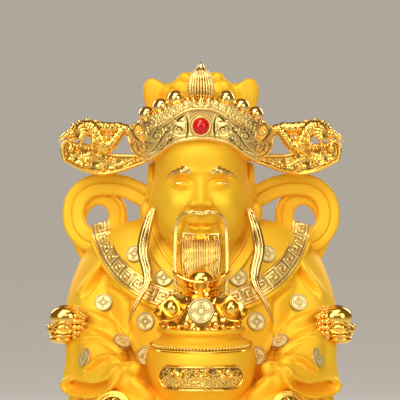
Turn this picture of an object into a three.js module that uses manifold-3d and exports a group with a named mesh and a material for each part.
// A seated caishen, the folk god of wealth, as a moulded and gilded statuette.
// He sits in a low chair with dragon-head arms on a plinth, and hugs a bowl of treasure.
// The statuette is one casting. The red stone in the hat's front plate is a piece of its own.
//
// Frame: millimetres, +Z up, the figure looks along -Y. The origin is the middle of the plinth's underside.

import * as THREE from "three";
import { mergeVertices } from "three/addons/utils/BufferGeometryUtils.js";
import Module from "manifold-3d";

const wasm = await Module();
wasm.setup();

// Driving dimensions of the statuette
const FIGURE_HEIGHT = 398; // from the plinth's top to the tip of the bud on the hat
const PLINTH_HEIGHT = 22;
const PLINTH_MARGIN = 9; // how far the plinth reaches past the chair and the robe
const PLINTH_CORNER = 18;
const PLINTH_STEP_HEIGHT = 8; // the wide lower step
const PLINTH_STEP_IN = 4; // how far the upper step stands back

// Where two carved pieces cross, short edges and thin slivers are mended
const SHORT_EDGE = 0.6;
const TINY_EDGE = 0.15; // drawn together however the faces round it turn
const THIN_HEIGHT = 0.03;

// The stone and its setting
const STONE_DIAMETER = 13;
const STONE_DOME = 4; // how far it stands proud of its pocket
const POCKET_DEPTH = 2.5;
const STONE_CLEARANCE = 0.3; // round the stone and under it
const BEZEL_WALL = 2;
const BEZEL_RISE = 1.6; // the collar round the stone, in front of the hat's plate

// The carving is laid out in 398ths of the figure's height. A share times UNIT is a real size.
const UNIT = FIGURE_HEIGHT / 398;

// Shares that set one carved piece each
const CHAIR_HALF_WIDTH = 96;
const CHAIR_BACK_Y = 88;
const CHAIR_SEAT = 104;
const CHAIR_SIDE = 14;
const CHAIR_ARM = 176;
const CHAIR_BACK_TOP = 204;
const CHAIR_BACK_THICKNESS = 13;
const ARM_RAIL_RADIUS = 8.5;
const RIBBON_WIDTH = 18;
const RIBBON_THICKNESS = 10;
const COIL_WIDTH = 14;
const BAND_WIDTH = 15;
const BAND_THICKNESS = 5;
const WING_THICKNESS = 5;
const PLATE_THICKNESS = 5;
const BALL_RADIUS = 6.4;
const BUD_RADIUS = 10.6;
const BUD_TIP = 398;
const BUD_FOOT = 364;
const COIN_RADIUS = 7.4;
const COIN_THICKNESS = 2.4; // what stands proud of the robe
const COIN_ROOT = 5; // what is buried in it
const BOWL_RADIUS = 42.5;
const BOWL_Y = -52;
const BOWL_FOOT = 137;
const BOWL_LIP = 194;
const MOUND_RADIUS = 31; // the heap in the bowl, whose middle lies just under the lip
const TOP_INGOT_LENGTH = 43;
const SIDE_INGOT_RADIUS = 9;
const BIG_COIN_RADIUS = 11;
const MEDALLION_RADIUS = 14.5;
const WHISKER_WIDTH = 7;
const MOUSTACHE_WIDTH = 4.6;
const BEARD_WIDTH = 30;

// A point of the figure, given in shares: x to its left, y to its back, z above the plinth
const at = (x, y, z) => new THREE.Vector3(x * UNIT, y * UNIT, PLINTH_HEIGHT + z * UNIT);
const FRONT = new THREE.Vector3(0, -1, 0);
const UP = new THREE.Vector3(0, 0, 1);

// Shells: plain lists of points and triangles, before they become solids

// A shell with its faces turned outwards
function outward(shell) {
  let volume = 0;
  for (const [a, b, c] of shell.triangles) {
    const [p, q, r] = [shell.points[a], shell.points[b], shell.points[c]];
    volume += p.dot(new THREE.Vector3().crossVectors(q, r));
  }
  const triangles = volume < 0 ? shell.triangles.map(([a, b, c]) => [a, c, b]) : shell.triangles;
  return { points: shell.points, triangles };
}

// Rows of points, each a closed loop of the same count, joined into one closed shell
function closedShell(rows) {
  const count = rows[0].length;
  const points = rows.flat();
  const triangles = [];
  for (let r = 0; r + 1 < rows.length; r += 1) {
    for (let i = 0; i < count; i += 1) {
      const [a, b] = [r * count + i, r * count + ((i + 1) % count)];
      triangles.push([a, b, b + count], [a, b + count, a + count]);
    }
  }
  for (const [row, turn] of [[0, true], [rows.length - 1, false]]) {
    const middle = points.length;
    points.push(rows[row].reduce((sum, p) => sum.add(p), new THREE.Vector3()).divideScalar(count));
    for (let i = 0; i < count; i += 1) {
      const [a, b] = [row * count + i, row * count + ((i + 1) % count)];
      triangles.push(turn ? [middle, b, a] : [middle, a, b]);
    }
  }
  return outward({ points, triangles });
}

// A smooth shell through rings of control points, with "around" points to each ring
function skin(rings, around) {
  const loops = rings.map((ring) => {
    const curve = new THREE.CatmullRomCurve3(ring, true, "catmullrom", 0.5);
    return curve.getPoints(around).slice(0, around);
  });
  return closedShell(loops);
}

// A section carried along a smooth path. section(t) gives [across, towards the facing side] pairs.
function sweep(path, facing, section, steps) {
  const line = new THREE.CatmullRomCurve3(path, false, "catmullrom", 0.5);
  const facings = Array.isArray(facing) ? facing : path.map(() => facing);
  const faceLine = new THREE.CatmullRomCurve3(facings, false, "catmullrom", 0.5);
  const rows = [];
  for (let i = 0; i <= steps; i += 1) {
    const t = i / steps;
    const along = line.getTangent(t);
    const across = new THREE.Vector3().crossVectors(along, faceLine.getPoint(t)).normalize();
    const out = new THREE.Vector3().crossVectors(across, along).normalize();
    const centre = line.getPoint(t);
    rows.push(section(t).map(([u, v]) =>
      centre.clone().addScaledVector(across, u * UNIT).addScaledVector(out, v * UNIT)));
  }
  return closedShell(rows);
}

// Sections for sweeps
const oval = (width, depth, count) => Array.from({ length: count }, (_, i) => {
  const a = (2 * Math.PI * (i + 0.5)) / count;
  return [(width / 2) * Math.cos(a), (depth / 2) * Math.sin(a)];
});
const strap = (width, depth) => [
  [-width / 2, -depth / 2], [width / 2, -depth / 2], [width / 2, depth / 2], [-width / 2, depth / 2],
];
// A strap with a groove down the middle of its face
const grooved = (width, depth) => [
  [-width / 2, -depth / 2], [width / 2, -depth / 2], [width / 2, depth * 0.35], [0, depth * 0.05],
  [-width / 2, depth * 0.35],
];

// One of three.js's own geometries as a shell, placed by a matrix
function fromGeometry(geometry, matrix) {
  const bare = geometry.index ? geometry.toNonIndexed() : geometry.clone();
  bare.deleteAttribute("normal");
  bare.deleteAttribute("uv");
  const merged = mergeVertices(bare.applyMatrix4(matrix), 1e-3);
  const p = merged.attributes.position;
  const points = Array.from({ length: p.count }, (_, i) => new THREE.Vector3().fromBufferAttribute(p, i));
  const index = Array.from(merged.index.array);
  const triangles = [];
  for (let i = 0; i < index.length; i += 3) triangles.push(index.slice(i, i + 3));
  return outward({ points, triangles });
}

// A matrix that takes an object's own +Z to a direction and its origin to a place
function facingMatrix(place, direction) {
  const turn = new THREE.Quaternion().setFromUnitVectors(UP, direction.clone().normalize());
  return new THREE.Matrix4().compose(place, turn, new THREE.Vector3(1, 1, 1));
}

// A disc whose face stands proud of a place and whose root is buried behind it
function disc(place, direction, radius, proud, root, sides = 8) {
  const height = (proud + root) * UNIT;
  const shape = new THREE.CylinderGeometry(radius * UNIT, radius * UNIT, height, sides);
  shape.rotateX(Math.PI / 2);
  shape.translate(0, 0, (proud * UNIT) - height / 2);
  return fromGeometry(shape, facingMatrix(place, direction));
}

function ball(place, radius, sides = 7, stretch = [1, 1, 1]) {
  const shape = new THREE.SphereGeometry(radius * UNIT, sides, Math.round(sides * 0.65));
  const matrix = new THREE.Matrix4().makeTranslation(place.x, place.y, place.z);
  return fromGeometry(shape, matrix.multiply(new THREE.Matrix4().makeScale(...stretch)));
}

function box(x0, x1, y0, y1, z0, z1) {
  const [low, high] = [at(x0, y0, z0), at(x1, y1, z1)];
  const size = high.clone().sub(low);
  const middle = low.add(high).divideScalar(2);
  const matrix = new THREE.Matrix4().makeTranslation(middle.x, middle.y, middle.z);
  return fromGeometry(new THREE.BoxGeometry(size.x, size.y, size.z), matrix);
}

// The same shell on the other side of the middle
function otherSide(shell) {
  return outward({
    points: shell.points.map((p) => new THREE.Vector3(-p.x, p.y, p.z)),
    triangles: shell.triangles,
  });
}
const bothSides = (shells) => shells.flatMap((shell) => [shell, otherSide(shell)]);

// Solids

function solidOf(shell) {
  const vertProperties = new Float32Array(shell.points.flatMap((p) => [p.x, p.y, p.z]));
  const triVerts = new Uint32Array(shell.triangles.flat());
  return new wasm.Manifold(new wasm.Mesh({ numProp: 3, vertProperties, triVerts }));
}
const joined = (shells) => shells.map(solidOf).reduce((whole, piece) => whole.add(piece));

function shellOf(solid) {
  const { vertProperties: v, triVerts, numProp } = solid.getMesh();
  const points = [];
  for (let i = 0; i < v.length; i += numProp) points.push(new THREE.Vector3(v[i], v[i + 1], v[i + 2]));
  const triangles = [];
  for (let i = 0; i < triVerts.length; i += 3) triangles.push([...triVerts.subarray(i, i + 3)]);
  return { points, triangles };
}

// A closed skin that can be mended where two shells crossed and left short edges and slivers
class Mending {
  constructor({ points, triangles }) {
    this.points = points;
    this.faces = new Map(triangles.entries());
    this.facesAt = points.map(() => new Set());
    triangles.forEach((t, i) => t.forEach((v) => this.facesAt[v].add(i)));
  }

  // Puts a triangle in the place of another, or takes it out
  setFace(i, t) {
    this.faces.get(i).forEach((v) => this.facesAt[v].delete(i));
    if (t) {
      this.faces.set(i, t);
      t.forEach((v) => this.facesAt[v].add(i));
    } else {
      this.faces.delete(i);
    }
  }

  neighbours(v) {
    return new Set([...this.facesAt[v]].flatMap((i) => this.faces.get(i)).filter((w) => w !== v));
  }

  edgeLength(a, b) {
    return this.points[a].distanceTo(this.points[b]);
  }

  normal([a, b, c]) {
    const [p, q, r] = [this.points[a], this.points[b], this.points[c]];
    return new THREE.Vector3().crossVectors(q.clone().sub(p), r.clone().sub(p));
  }

  height([a, b, c]) {
    return this.normal([a, b, c]).length() / Math.max(
      this.edgeLength(a, b), this.edgeLength(b, c), this.edgeLength(c, a));
  }

  // Whether a triangle, once changed, still looks about the same way and isn't a sliver
  keepsFacing(before, after) {
    const [m, n] = [this.normal(before), this.normal(after)];
    const turns = m.dot(n) < 0.5 * m.length() * n.length();
    return this.height(after) > THIN_HEIGHT && (this.height(before) < THIN_HEIGHT || !turns);
  }

  // Moves one end of an edge onto the other
  drawTogether(from, to) {
    const both = this.neighbours(to);
    if ([...this.neighbours(from)].filter((v) => both.has(v)).length !== 2) return false;
    const moved = (t) => t.map((v) => (v === from ? to : v));
    const touched = [...this.facesAt[from]];
    const staying = touched.filter((i) => !this.faces.get(i).includes(to));
    const tiny = this.edgeLength(from, to) < TINY_EDGE;
    const sound = staying.every((i) => this.keepsFacing(this.faces.get(i), moved(this.faces.get(i))));
    if (!tiny && !sound) return false;
    touched.forEach((i) => this.setFace(i, staying.includes(i) ? moved(this.faces.get(i)) : null));
    return true;
  }

  // Swaps a sliver's long edge for the other diagonal of the two triangles beside it
  turnLongEdge(i) {
    const t = this.faces.get(i);
    const sides = [0, 1, 2].map((k) => [t[k], t[(k + 1) % 3], t[(k + 2) % 3]]);
    const [a, b, c] = sides.reduce((one, two) =>
      (this.edgeLength(one[0], one[1]) > this.edgeLength(two[0], two[1]) ? one : two));
    const j = [...this.facesAt[a]].find((n) => n !== i && this.faces.get(n).includes(b));
    const d = this.faces.get(j).find((v) => v !== a && v !== b);
    const [one, two] = [[c, a, d], [c, d, b]];
    const sound = [one, two].every((after) => this.keepsFacing(this.faces.get(j), after));
    if (this.neighbours(c).has(d) || !sound) return false;
    this.setFace(i, one);
    this.setFace(j, two);
    return true;
  }

  mendFace(i) {
    const t = this.faces.get(i);
    if (!t) return false;
    const sides = [[t[0], t[1]], [t[1], t[2]], [t[2], t[0]]];
    const short = sides.filter(([a, b]) => this.edgeLength(a, b) < SHORT_EDGE);
    const drawn = short.some(([a, b]) => this.drawTogether(a, b) || this.drawTogether(b, a));
    return drawn || (this.height(t) < THIN_HEIGHT && this.turnLongEdge(i));
  }

  // Goes round until nothing can be mended any more
  mended() {
    while ([...this.faces.keys()].filter((i) => this.mendFace(i)).length > 0);
    const used = [...new Set([...this.faces.values()].flat())];
    const number = new Map(used.map((v, i) => [v, i]));
    return {
      points: used.map((v) => this.points[v]),
      triangles: [...this.faces.values()].map((t) => t.map((v) => number.get(v))),
    };
  }
}

function geometryOf(solid) {
  const { vertProperties, triVerts, numProp } = solid.getMesh();
  const count = vertProperties.length / numProp;
  const positions = new Float32Array(count * 3);
  for (let i = 0; i < count; i += 1) {
    positions.set(vertProperties.subarray(i * numProp, i * numProp + 3), i * 3);
  }
  const geometry = new THREE.BufferGeometry();
  geometry.setAttribute("position", new THREE.BufferAttribute(positions, 3));
  geometry.setIndex(new THREE.BufferAttribute(new Uint32Array(triVerts), 1));
  return geometry;
}

// Rings seen from above. Half a ring is given from its front to its back, for x from 0 up, and mirrored.
function ring(z, half) {
  const right = half.map(([x, y]) => at(x, y, z));
  const left = half.slice(1, -1).reverse().map(([x, y]) => at(-x, y, z));
  return [...right, ...left];
}

// An egg-shaped ring: half width a, front and back reach, and how square it is
function eggRing(z, a, front, back, count = 16, square = 2.4) {
  const middle = (front + back) / 2;
  const depth = (back - front) / 2;
  return Array.from({ length: count }, (_, i) => {
    const turn = (2 * Math.PI * i) / count;
    const [c, s] = [Math.cos(turn), Math.sin(turn)];
    const reach = (Math.abs(c) ** square + Math.abs(s) ** square) ** (-1 / square);
    return at(a * reach * s, middle - depth * reach * c, z);
  });
}

// The body under the robe: height, half width, front, back. It sits on the seat and leans on the chair's back.
const TORSO = [
  [CHAIR_SEAT - 2, 77, -28, 78],
  [132, 78, -28, 78],
  [165, 84, -38, 78],
  [200, 86, -36, 78],
  [232, 86, -27, 70],
  [256, 84, -16, 62],
  [268, 74, -8, 54],
  [275, 50, 2, 44],
];
const TORSO_SQUARE = 2.5;

// Where the front of the body lies at a place, and which way it faces there
function torsoSurface(x, z) {
  const [a, front, back] = between(TORSO, z);
  const share = Math.min(0.999, Math.abs(x) / a);
  const reach = (1 - share ** TORSO_SQUARE) ** (1 / TORSO_SQUARE);
  return (front + back) / 2 - ((back - front) / 2) * reach;
}
function torsoNormal(x, z) {
  const step = 2;
  const slopeX = (torsoSurface(x + step, z) - torsoSurface(x - step, z)) / (2 * step);
  const slopeZ = (torsoSurface(x, z + step) - torsoSurface(x, z - step)) / (2 * step);
  return new THREE.Vector3(slopeX, -1, slopeZ).normalize();
}

// The plinth: two rounded steps
function plinth() {
  const halfWidth = CHAIR_HALF_WIDTH * UNIT + PLINTH_MARGIN;
  const halfDepth = CHAIR_BACK_Y * UNIT + PLINTH_MARGIN;
  const loop = (inset, z) => {
    const corner = Math.min(PLINTH_CORNER, halfDepth * 0.9) - inset;
    const [w, d] = [halfWidth - inset - corner, halfDepth - inset - corner];
    const quarter = 4;
    const points = [];
    for (let i = 0; i < 4 * quarter; i += 1) {
      const side = Math.floor(i / quarter);
      const turn = (Math.PI / 2) * (side + (i % quarter) / (quarter - 1));
      const [sx, sy] = [[1, 1], [-1, 1], [-1, -1], [1, -1]][side];
      points.push(new THREE.Vector3(sx * w + corner * Math.cos(turn), sy * d + corner * Math.sin(turn), z));
    }
    return points;
  };
  const lip = PLINTH_STEP_IN / 4;
  return closedShell([
    loop(0, 0), loop(0, PLINTH_STEP_HEIGHT - lip), loop(lip, PLINTH_STEP_HEIGHT),
    loop(PLINTH_STEP_IN, PLINTH_STEP_HEIGHT), loop(PLINTH_STEP_IN, PLINTH_HEIGHT - lip),
    loop(PLINTH_STEP_IN + lip, PLINTH_HEIGHT),
  ]);
}

// The chair: seat block, sides, low back, arm rails, posts and the dragon heads at the front of the arms
function chair() {
  const inner = CHAIR_HALF_WIDTH - CHAIR_SIDE;
  const railX = CHAIR_HALF_WIDTH + 4;
  const railZ = CHAIR_ARM + ARM_RAIL_RADIUS * 0.6;
  const front = CHAIR_BACK_Y - CHAIR_BACK_THICKNESS;
  const sunk = -1;
  const seat = box(-inner - 2, inner + 2, -36, CHAIR_BACK_Y - 2, sunk, CHAIR_SEAT);
  const crest = [
    [inner + 4, sunk], [inner + 6, CHAIR_BACK_TOP - 34], [inner - 6, CHAIR_BACK_TOP - 16],
    [inner - 22, CHAIR_BACK_TOP - 12], [inner * 0.4, CHAIR_BACK_TOP - 2], [0, CHAIR_BACK_TOP],
  ];
  const outline = [...crest, ...crest.slice(0, -1).reverse().map(([x, z]) => [-x, z])];
  const back = closedShell([front, CHAIR_BACK_Y].map((y) => outline.map(([x, z]) => at(x, y, z))));
  const side = box(inner, CHAIR_HALF_WIDTH, -26, CHAIR_BACK_Y - 3, sunk, CHAIR_ARM);
  const rail = sweep(
    [at(railX - 6, CHAIR_BACK_Y - 6, railZ + 10), at(railX - 1, 60, railZ + 4), at(railX, 20, railZ),
      at(railX + 2, -22, railZ + 6)],
    UP, () => oval(2 * ARM_RAIL_RADIUS, 2 * ARM_RAIL_RADIUS, 6), 5);
  const bulge = (t) => 15 + 3 * Math.sin(t * Math.PI * 4);
  const post = sweep(
    [at(CHAIR_HALF_WIDTH - 1, -24, CHAIR_ARM + 6), at(CHAIR_HALF_WIDTH, -24, 90),
      at(CHAIR_HALF_WIDTH - 1, -24, sunk)],
    FRONT, (t) => oval(bulge(t), 16, 6), 6);
  return [seat, back, ...bothSides([side, rail, post, dragonHead(railX + 4, -28, CHAIR_ARM + 17)])];
}

// A dragon's head at the end of an arm, looking outwards: mane, two domed brows, snout and jaw.
// Its loops go from the mane to the snout: to one side, how far back, up.
function dragonHead(x, y, z) {
  const half = [
    [[0, 12, 11], [7, 12, 14], [13, 12, 5], [9, 12, -12], [0, 12, -15]],
    [[0, -2, 9], [6, -2, 14], [12.5, -2, 7], [10, -1, -12], [0, -1, -15]],
    [[0, -9, 5], [6, -8, 11], [11, -7, 5], [9, -9, -9], [0, -9, -12]],
    [[0, -17, 2], [4, -16, 2], [8, -15, 0], [6, -16, -7], [0, -17, -9]],
  ];
  const wholeLoop = (loop) => [...loop, ...loop.slice(1, -1).reverse().map(([u, v, w]) => [-u, v, w])];
  return closedShell(half.map((loop) => wholeLoop(loop).map(([u, v, w]) => at(x - v, y + u, z + w))));
}

// The robe over lap and legs, from its hem on the plinth to the lap under the bowl
// Its rings: height, then half of each ring as [x, y] from the middle of the front to the middle of the back.
const ROBE = [
  [-1,
    [0, -66], [10, -84], [24, -72], [38, -88], [54, -76], [68, -86], [80, -62], [84, -28], [80, 12], [0, 30]],
  [34,
    [0, -62], [10, -78], [24, -69], [38, -83], [54, -75], [68, -82], [78, -60], [82, -28], [78, 12], [0, 30]],
  [74,
    [0, -58], [12, -72], [26, -68], [42, -82], [58, -80], [72, -82], [84, -62], [88, -30], [84, 10], [0, 30]],
  [106,
    [0, -58], [14, -70], [30, -74], [46, -87], [62, -91], [78, -86], [92, -64], [96, -32], [88, 8], [0, 30]],
  [128,
    [0, -56], [14, -68], [30, -74], [46, -86], [62, -90], [76, -84], [90, -62], [94, -32], [86, 8], [0, 30]],
  [144,
    [0, -52], [14, -62], [30, -66], [46, -74], [60, -76], [72, -70], [82, -56], [86, -32], [80, 8], [0, 30]],
  [151,
    [0, -44], [14, -50], [28, -52], [42, -56], [54, -56], [64, -52], [72, -44], [74, -30], [70, 4], [0, 26]],
];
const lowerRobe = () => skin(ROBE.map(([z, ...half]) => ring(z, half)), 30);

// A boot's toe that looks out from under the hem
const boot = () => skin([
  [[28, -66, 0], [54, -66, 0], [52, -66, 26], [30, -66, 26]],
  [[26, -82, 0], [54, -82, 0], [51, -82, 20], [29, -82, 20]],
  [[30, -93, 1], [50, -93, 1], [47, -92, 15], [33, -92, 15]],
].map((loop) => loop.map(([x, y, z]) => at(x, y, z - 0.5))), 8);

const torso = () => skin(TORSO.map((row) => eggRing(...row, 16, TORSO_SQUARE)), 22);

// The turn of each control point round an arm: from inner front, by front and outside, to the inner back
const ARM_TURNS = [35, 70, 100, 125, 155, 185, 215, 245, 275, 305, 345].map(THREE.MathUtils.degToRad);
const armRing = (x, y, z, across, deep, tilt = 0) => ARM_TURNS.map((turn) => {
  const [u, v] = [-across * Math.cos(turn), -deep * Math.sin(turn)];
  return at(x + u, y + v * Math.cos(tilt), z + v * Math.sin(tilt));
});

// The mouth of a sleeve: its upper lip from the wrist out to the tip, then its lower lip back
const SLEEVE_MOUTH = [
  [55, -73, 165.5], [62, -74, 167.5], [71, -71, 162], [82, -64, 157.5], [97, -52, 153.5], [107, -44, 149],
  [103, -48, 143], [90, -60, 141.5], [76, -68, 144.5], [65, -73, 149.5], [56, -75, 156],
];
function sleeve() {
  const mouth = SLEEVE_MOUTH.map((p) => at(...p));
  const count = SLEEVE_MOUTH.length;
  const middle = SLEEVE_MOUTH.reduce((sum, p) => sum.map((v, i) => v + p[i] / count), [0, 0, 0]);
  const inside = (share, back) => SLEEVE_MOUTH.map((p) => {
    const [x, y, z] = p.map((v, i) => middle[i] + (v - middle[i]) * share);
    return at(x, y + back, z + back * 0.2);
  });
  return skin([
    armRing(66, 26, 262, 16, 22, 0.25),
    armRing(74, 24, 250, 22, 28, 0.2),
    armRing(80, 20, 226, 25, 30, 0.1),
    armRing(84, 12, 200, 26, 32, -0.1),
    armRing(84, -2, 180, 25, 34, -0.45),
    armRing(80, -30, 166, 26, 26, -0.8),
    mouth,
    inside(0.8, 1),
    inside(0.55, 6),
  ], 16);
}

// A hand that reaches out of the sleeve and holds the bowl from its side
const hand = () => closedShell([
  [[70, -50, 150], [72, -52, 160], [66, -48, 167], [58, -44, 166], [56, -44, 152]],
  [[59, -70, 147], [60, -76, 157], [54, -74, 169], [46, -64, 168], [47, -58, 150]],
  [[44, -76, 138], [46, -82, 147], [42, -80, 156], [35, -68, 156], [34, -64, 140]],
].map((loop) => loop.map((p) => at(...p))));

// The bowl, turned on a wheel: height and radius up its outside
const BOWL_PROFILE = [
  [0, 26], [8, 34], [18, 40.5], [29, 42.5], [39, 39.5], [43, 38], [46, 32], [51, 29.5], [54, 34], [57, 32.5],
];
function bowl() {
  const reach = BOWL_RADIUS / 42.5;
  const rise = (BOWL_LIP - BOWL_FOOT) / 57;
  const sides = 16;
  return closedShell(BOWL_PROFILE.map(([z, r]) => Array.from({ length: sides }, (_, i) => {
    const turn = (2 * Math.PI * i) / sides;
    return at(r * reach * Math.cos(turn), BOWL_Y + r * reach * Math.sin(turn), BOWL_FOOT + z * rise);
  })));
}

// The long plate on the bowl's front, with a rim and a swelling middle
function bowlPlate() {
  const z = BOWL_FOOT + 23;
  const steps = 8;
  const halfTurn = 0.86;
  const rows = Array.from({ length: steps + 1 }, (_, i) => {
    const t = (2 * i) / steps - 1;
    const turn = t * halfTurn;
    const half = 9.4 * Math.sqrt(Math.max(0.08, 1 - Math.abs(t) ** 5));
    const section = [[-half, -5], [half, -5], [half, 2], [half * 0.7, 3], [-half * 0.7, 3], [-half, 2]];
    return section.map(([w, proud]) => {
      const lean = w > 0 ? 0 : w * 0.18;
      const r = BOWL_RADIUS - 1 + lean + proud;
      return at(r * Math.sin(turn), BOWL_Y - r * Math.cos(turn), z + w);
    });
  });
  return closedShell(rows);
}

// A shoe-shaped gold ingot: a boat with turned-up ends and an egg in its middle
function ingot(place, length, matrix, sides) {
  const half = length / 2;
  const rows = [-1, -0.7, -0.25, 0.25, 0.7, 1].map((t) => {
    const wide = (0.1 + 0.25 * Math.sqrt(1 - t * t * 0.96)) * length;
    const top = (0.06 + 0.2 * t * t) * length;
    const foot = -(0.2 - 0.16 * t * t) * length;
    return [[-wide, top], [-wide * 0.6, foot], [wide * 0.6, foot], [wide, top]].map(([y, z]) =>
      new THREE.Vector3(t * half, y, z).multiplyScalar(UNIT));
  });
  const egg = ball(new THREE.Vector3(0, 0, 0.12 * length * UNIT), length * 0.26, sides, [1.1, 0.95, 0.9]);
  const placed = (shell) => outward({
    points: shell.points.map((p) => p.clone().applyMatrix4(matrix).add(place)),
    triangles: shell.triangles,
  });
  return [placed(closedShell(rows)), placed(egg)];
}

// What the bowl is heaped with: a mound, three ingots, a big coin and pearls
function treasure() {
  const mound = ball(at(0, BOWL_Y, BOWL_LIP - 2), MOUND_RADIUS, 8, [1, 0.95, 1]);
  const top = BOWL_LIP + MOUND_RADIUS;
  const level = new THREE.Matrix4().makeRotationX(0.15);
  const tipped = new THREE.Matrix4().makeRotationY(0.5).multiply(new THREE.Matrix4().makeRotationX(0.9));
  const topIngot = ingot(at(0, BOWL_Y - 2, top + 4), TOP_INGOT_LENGTH, level, 8);
  const sideIngot = ingot(at(20.5, BOWL_Y - 19, top - 16), 2.4 * SIDE_INGOT_RADIUS, tipped, 6);
  const coin = disc(at(0, BOWL_Y - 29, top - 20), new THREE.Vector3(0, -1, 0.35), BIG_COIN_RADIUS, 2, 7, 12);
  return [mound, ...topIngot, coin, ...bothSides(sideIngot)];
}

// The broad plated band that edges the cape, from shoulder to shoulder
const BAND_ROUTE = [[82, 271], [79, 259], [72, 246], [62, 234], [50, 224], [36, 216.5], [18, 211], [0, 209]];
function collarBand() {
  const half = BAND_ROUTE.map(([x, z]) => [x, torsoSurface(x, z) - 1, z]);
  half[0][1] = 14;
  const otherHalf = half.slice(0, -1).reverse().map(([x, y, z]) => [-x, y, z]);
  const path = [...half, ...otherHalf].map((p) => at(...p));
  const rightFaces = BAND_ROUTE.map(([x, z], i) =>
    torsoNormal(x, z).add(new THREE.Vector3(0, 0, i < 2 ? 1.2 - 0.5 * i : 0.15)).normalize());
  const leftFaces = rightFaces.slice(0, -1).reverse().map((n) => new THREE.Vector3(-n.x, n.y, n.z));
  return sweep(path, [...rightFaces, ...leftFaces], () => strap(BAND_WIDTH, BAND_THICKNESS), 16);
}

// The inner robe's crossed lapels, under the beard
function lapels() {
  const route = [[40, 262], [34, 250], [25, 238], [12, 227], [-4, 217]];
  return sweep(route.map(([x, z]) => at(x, torsoSurface(x, z), z)), route.map(([x, z]) => torsoNormal(x, z)),
    () => strap(10, 5), 4);
}

// The point where a shell is first met from the front, at a place given by x and z
function frontOf(shell, x, z) {
  const ray = new THREE.Ray(at(x, -400, z), new THREE.Vector3(0, 1, 0));
  const hits = shell.triangles.map(([a, b, c]) =>
    ray.intersectTriangle(shell.points[a], shell.points[b], shell.points[c], false, new THREE.Vector3()));
  return hits.filter((hit) => hit).reduce((nearest, hit) => (hit.y < nearest.y ? hit : nearest));
}

// A coin sewn flat on a shell
function coinOn(shell, x, z) {
  const reach = COIN_RADIUS * 0.7;
  const across = frontOf(shell, x + reach, z).sub(frontOf(shell, x - reach, z));
  const upwards = frontOf(shell, x, z + reach).sub(frontOf(shell, x, z - reach));
  const way = new THREE.Vector3().crossVectors(across, upwards).normalize();
  return disc(frontOf(shell, x, z), way, COIN_RADIUS, COIN_THICKNESS, COIN_ROOT);
}
function robeCoins() {
  const [body, arm] = [torso(), sleeve()];
  return bothSides([
    ...[[29.5, 229], [51, 247], [40, 196]].map(([x, z]) => coinOn(body, x, z)),
    ...[[78, 211], [65, 183]].map(([x, z]) => coinOn(arm, x, z)),
  ]);
}

// The round plates on the knees
const kneePlate = () => disc(at(65, -86, 136), new THREE.Vector3(0.1, -1, 0.45), MEDALLION_RADIUS, 2, 8, 11);

// The head: height, half width, face, back
const HEAD = [
  [249, 13, -34, 0], [255, 24, -41, 14], [266, 34, -44.5, 26], [280, 39.5, -44.5, 34], [292, 40, -43.5, 38],
  [312, 37, -43.5, 41], [328, 36, -44, 41], [344, 34, -38, 38],
];
// Swellings and hollows of a calm, round face: x, z, reach in x, reach in z, how far out
const FEATURES = [
  [0, 296, 4, 9, 5], [0, 287, 5, 5, 8], [6.5, 285, 3.2, 3, 3.5], [21, 287, 9, 8, 3.4], [15, 311, 10, 3, 1.3],
  [15, 304, 8, 3.6, -1.6], [15, 302, 5, 2, 1.4], [0, 274, 10, 2.2, 2.4], [0, 270.7, 12, 1.4, -2],
  [0, 267.5, 8, 2.4, 3], [0, 258, 10, 6, 2],
];
const HEAD_ROWS = [249, 255, 262, 267.5, 270.7, 274, 282, 287, 292, 297, 302, 306.5, 311, 318, 344];
const HEAD_TURNS = [0, 5, 11, 19, 29, 41, 56, 80, 125];

// How far the features push the face out at a place
function featureRise(x, z) {
  const bell = (d, reach) => Math.exp(-((d / reach) ** 2));
  return FEATURES.reduce((sum, [fx, fz, rx, rz, rise]) => {
    const sides = fx === 0 ? bell(x, rx) : bell(x - fx, rx) + bell(x + fx, rx);
    return sum + rise * sides * bell(z - fz, rz);
  }, 0);
}

// A value between the rows of a table whose first column is the height
function between(table, z) {
  const upper = Math.min(table.length - 1, Math.max(1, table.findIndex((row) => row[0] >= z)));
  const [low, high] = [table[upper - 1], table[upper]];
  const t = Math.min(1, Math.max(0, (z - low[0]) / (high[0] - low[0])));
  return low.slice(1).map((value, i) => value + t * (high[i + 1] - value));
}

function headShell() {
  const turns = [...HEAD_TURNS, 180, ...HEAD_TURNS.slice(1).reverse().map((t) => -t)];
  return closedShell(HEAD_ROWS.map((z) => {
    const [a, front, back] = between(HEAD, z);
    return turns.map((degrees) => {
      const turn = THREE.MathUtils.degToRad(degrees);
      const [s, c] = [Math.sin(turn), Math.cos(turn)];
      const reach = (Math.abs(s) ** 2.2 + Math.abs(c) ** 2.2) ** (-1 / 2.2);
      const x = a * s * reach;
      const rise = c > 0 ? featureRise(x, z) : 0;
      return at(x, (front + back) / 2 - ((back - front) / 2) * c * reach - rise, z);
    });
  }));
}
const head = () => [headShell(), ...bothSides([ear()])];

// An ear with the long lobe of a blessed man
const ear = () => closedShell([
  [[33, -2, 317], [38, 1, 319], [38, 9, 319], [33, 8, 317]],
  [[34, -3, 308], [44.5, -2, 310], [43, 10, 310], [33, 12, 308]],
  [[34, -4, 294], [44, -4, 292], [42, 8, 292], [33, 10, 294]],
  [[34, -5, 274], [43.5, -6, 270], [43, 2, 270], [34, 4, 274]],
].map((loop) => loop.map((p) => at(...p))));

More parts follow.
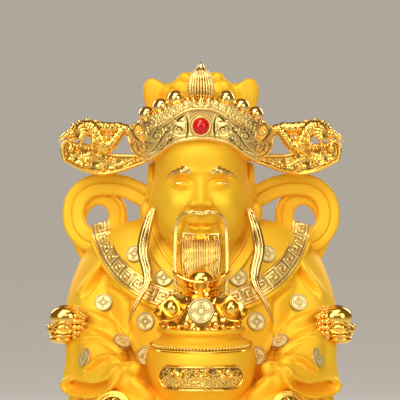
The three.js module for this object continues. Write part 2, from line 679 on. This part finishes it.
// Beard, moustache and the long locks before the ears
function beard() {
  const goatee = skin([
    [[-0.5, -39, 262], [0.5, -42, 262], [0.5, -30, 262], [-0.5, -30, 262]],
    [[-0.5, -49, 258], [0.5, -49, 258], [0.45, -34, 258], [-0.45, -34, 258]],
    [[-0.5, -54, 244], [0.5, -54, 244], [0.45, -34, 244], [-0.45, -34, 244]],
    [[-0.42, -57, 228], [0.42, -57, 228], [0.4, -38, 228], [-0.4, -38, 228]],
  ].map((loop) => loop.map(([x, y, z]) => at(x * BEARD_WIDTH, y, z))), 8);
  const moustache = sweep(
    [[0.5, -49, 279], [12, -49, 279], [18, -48, 273], [20, -50, 259], [20, -54, 240], [19.4, -57, 226]]
      .map((p) => at(...p)),
    FRONT, () => oval(MOUSTACHE_WIDTH, MOUSTACHE_WIDTH * 1.2, 5), 8);
  const lockWidth = (t) => WHISKER_WIDTH * (0.45 + 0.75 * Math.sin(Math.PI * (0.12 + 0.8 * t)));
  const lock = sweep(
    [[36, -22, 284], [40, -30, 270], [45, -33, 252], [43.5, -38, 236], [46, -43, 220], [52, -45, 207],
      [56, -48, 195]].map((p) => at(...p)),
    FRONT, (t) => oval(lockWidth(t), 9 - 3 * t, 5), 8);
  return [goatee, ...bothSides([moustache, lock])];
}

// The hat's matt crown: a domed cap in front of a cloud-shaped back
function hatCrown() {
  const cap = skin([
    eggRing(330, 38, -42, 43, 12), eggRing(350, 38, -40, 41, 12), eggRing(368, 33, -32, 37, 12),
    eggRing(384, 17, -12, 30, 12),
  ], 14);
  const outline = [
    [0, 395.5], [14, 394], [21, 389], [28, 385], [36, 388.5], [42, 389.5], [47, 383], [47.5, 372], [45, 358],
    [42, 340],
  ];
  const slab = (depth, share) => [
    ...outline.map(([x, z]) => at(x * share, depth, 340 + (z - 340) * share)),
    ...outline.slice(1).reverse().map(([x, z]) => at(-x * share, depth, 340 + (z - 340) * share)),
  ];
  const cloud = closedShell([slab(22, 0.95), slab(27, 1), slab(40, 0.98)]);
  return [cap, cloud];
}

// The plated front of the hat, which wraps round the cap. Stations: x, y, lower edge, upper edge.
// The upper edge rises in a leaf between each ball and the next.
const PLATE = [
  [0, -46, 336.5, 364], [11, -45.3, 335.3, 366.5], [19.5, -43, 333.5, 363], [26, -39.5, 330.5, 363],
  [31.5, -36, 326.5, 357], [37.5, -31.5, 322.5, 357], [44, -23, 320.5, 351.5], [50, -13, 323, 353],
  [55, -3, 330, 350.5], [58, 3, 338, 346],
];
function hatPlate() {
  const rows = [...PLATE.slice(1).reverse().map(([x, ...rest]) => [-x, ...rest]), ...PLATE];
  return closedShell(rows.map(([x, y, low, high]) => {
    const out = new THREE.Vector2(x * 0.8, y - 12).normalize();
    const wall = (depth, z) => at(x - out.x * depth, y - out.y * depth, z);
    const thick = PLATE_THICKNESS + 6;
    return [wall(0, low + 1.5), wall(0, high - 2), wall(2, high), wall(thick, high - 1), wall(thick, low)];
  }));
}

// Balls on the plate's upper edge
const BALL_PLACES = [[19.5, -34, 368.7], [31.3, -27, 363], [42.7, -15, 357.6]];
const hatBalls = () => bothSides(BALL_PLACES.map((p) => ball(at(...p), BALL_RADIUS, 7)));

// The fluted bud on top, in a cup of leaves
function hatBud() {
  const flutes = 8;
  const sides = 2 * flutes;
  const share = [[0, 0.5], [0.2, 0.92], [0.4, 1], [0.6, 0.88], [0.78, 0.55], [0.9, 0.22], [1, 0.05]];
  const rows = share.map(([t, wide]) => Array.from({ length: sides }, (_, i) => {
    const turn = (2 * Math.PI * i) / sides;
    const r = BUD_RADIUS * wide * (i % 2 ? 0.86 : 1);
    return at(r * Math.sin(turn), -27 - r * Math.cos(turn), BUD_FOOT + t * (BUD_TIP - BUD_FOOT));
  }));
  const cupRings = [[350, 13, -42, -8], [367, 14, -42, -12], [370, 9, -37, -17]];
  const cup = skin(cupRings.map((row) => eggRing(...row, 8)), 8);
  return [closedShell(rows), cup];
}

// The collar round the stone, and the pocket it leaves
const STONE_PLACE = () => at(0, -46, 346.8);
const STONE_WAY = new THREE.Vector3(0, -1, 0);
function roundBar(radius, from, to, sides) {
  const shape = new THREE.CylinderGeometry(radius, radius, to - from, sides);
  shape.rotateX(Math.PI / 2);
  shape.translate(0, 0, (from + to) / 2);
  return fromGeometry(shape, facingMatrix(STONE_PLACE(), STONE_WAY));
}
const bezel = () => roundBar(STONE_DIAMETER / 2 + STONE_CLEARANCE + BEZEL_WALL, -5, BEZEL_RISE, 16);
function pocket() {
  const floor = BEZEL_RISE - POCKET_DEPTH;
  return roundBar(STONE_DIAMETER / 2 + STONE_CLEARANCE, floor, BEZEL_RISE + STONE_DOME, 16);
}
function stone() {
  const radius = STONE_DIAMETER / 2;
  const floor = BEZEL_RISE - POCKET_DEPTH + STONE_CLEARANCE;
  const girdle = BEZEL_RISE;
  const profile = [[0, floor], [radius, floor], [radius, girdle]];
  const domeSteps = 4;
  for (let i = 1; i <= domeSteps; i += 1) {
    const turn = (Math.PI / 2) * (i / domeSteps);
    profile.push([i === domeSteps ? 0 : radius * Math.cos(turn), girdle + STONE_DOME * Math.sin(turn)]);
  }
  const shape = new THREE.LatheGeometry(profile.map(([r, z]) => new THREE.Vector2(r, z)), 16);
  shape.rotateX(Math.PI / 2);
  return fromGeometry(shape, facingMatrix(STONE_PLACE(), STONE_WAY));
}

// One wing of the hat, a leaf-shaped blade. Stations: x, lower edge, upper edge
const WING = [
  [38, 322, 326], [50, 317.5, 327], [60, 314, 327], [70, 311, 327.5], [80, 309.5, 331], [90, 311, 335],
  [100, 315, 336], [107, 318.5, 338], [111, 321.5, 336.5], [113, 327, 333],
];
function wing() {
  const depth = (x) => 9 + 4 * Math.sin((x - 38) / 24);
  return closedShell(WING.map(([x, low, high]) => {
    const y = depth(x);
    const [f, b] = [y - WING_THICKNESS / 2, y + WING_THICKNESS / 2];
    const edge = [[f, low + 1], [f, high - 1], [y, high], [b, high - 1], [b, low + 1], [y, low]];
    return edge.map(([depthAt, z]) => at(x, depthAt, z));
  }));
}

// The dragon that arches along the top of a wing, with a crest of spikes and its head at the wing's tip.
// Along its way: x, y, z, thickness, spike.
const DRAGON = [
  [46, 8, 327, 8, 0], [50, 8, 334, 9, 2], [54.5, 8, 342, 9, 0], [60, 8, 345, 9, 2.5], [65, 8, 342, 10, 0],
  [70, 8, 334, 11, 0], [76, 9, 330, 9, 0], [81, 9, 333, 11, 0], [83, 9, 342, 14, 3], [86.5, 9, 346, 14, 0],
  [92, 9, 347.5, 12, 2.5], [97, 9.5, 347.5, 14, 0], [102, 10, 346, 13, 2], [106, 11, 342, 9, 0],
  [109, 12, 335, 6, 0],
];
function wingDragon() {
  const last = DRAGON.length - 1;
  return sweep(DRAGON.map(([x, y, z]) => at(x, y, z)), FRONT, (t) => {
    const [, , , thick, spike] = DRAGON[Math.round(t * last)];
    const r = thick / 2;
    const half = [[-r * 0.4, r * 0.9], [r * 0.8, r * 0.7]];
    return [[-r - spike, 0], ...half, ...half.toReversed().map(([u, v]) => [u, -v])];
  }, last);
}

// A ribbon that loops beside the head: the broad loop, the coil inside it and the tail down the arm.
// A lug behind the wing holds the loop's top.
function ribbon() {
  const loop = sweep(
    [[40, 24, 289], [54, 27, 297], [66, 29, 301.5], [80, 30, 302.5], [92, 30, 300], [101, 29, 292],
      [104.5, 28, 281], [103, 27, 269], [96, 25, 259.5], [86, 22, 255]].map((p) => at(...p)),
    FRONT, () => grooved(RIBBON_WIDTH, RIBBON_THICKNESS), 12);
  const coil = sweep(
    [[92, 32, 290], [84, 33, 291], [76, 34, 288], [69, 34, 281], [67.5, 34, 272], [71, 33, 263]]
      .map((p) => at(...p)),
    FRONT, (t) => strap(COIL_WIDTH * (0.6 + 0.5 * t), RIBBON_THICKNESS), 5);
  const tail = sweep(
    [[103, 30, 262], [97, 30, 250], [92, 30, 238], [93, 28, 220], [92, 26, 204]].map((p) => at(...p)),
    FRONT, (t) => strap(RIBBON_WIDTH * (0.7 + 0.3 * t), RIBBON_THICKNESS), 4);
  const lug = box(74, 86, 11, 33, 309.5, 316);
  return [loop, coil, tail, lug];
}

// The whole casting
const castShells = [
  plinth(), ...chair(), lowerRobe(), torso(), bowl(), bowlPlate(), ...treasure(), collarBand(),
  ...bothSides([lapels()]), ...robeCoins(), ...head(), ...beard(), ...hatCrown(), hatPlate(), ...hatBalls(),
  ...hatBud(), bezel(),
  ...bothSides([boot(), sleeve(), hand(), kneePlate(), wing(), wingDragon(), ...ribbon()]),
];
const cast = solidOf(new Mending(shellOf(joined(castShells))).mended());
const casting = cast.subtract(solidOf(pocket()));

const gilded = new THREE.MeshStandardMaterial({ color: 0xf2b21c, roughness: 0.5, metalness: 0.8 });
const ruby = new THREE.MeshStandardMaterial({ color: 0xb00a10, roughness: 0.05, metalness: 0.0 });

const statuette = new THREE.Group();
for (const [name, solid, material] of [
  ["figure", casting, gilded],
  ["hat_gem", solidOf(stone()), ruby],
]) {
  const mesh = new THREE.Mesh(geometryOf(solid), material);
  mesh.name = name;
  statuette.add(mesh);
}

export default statuette;
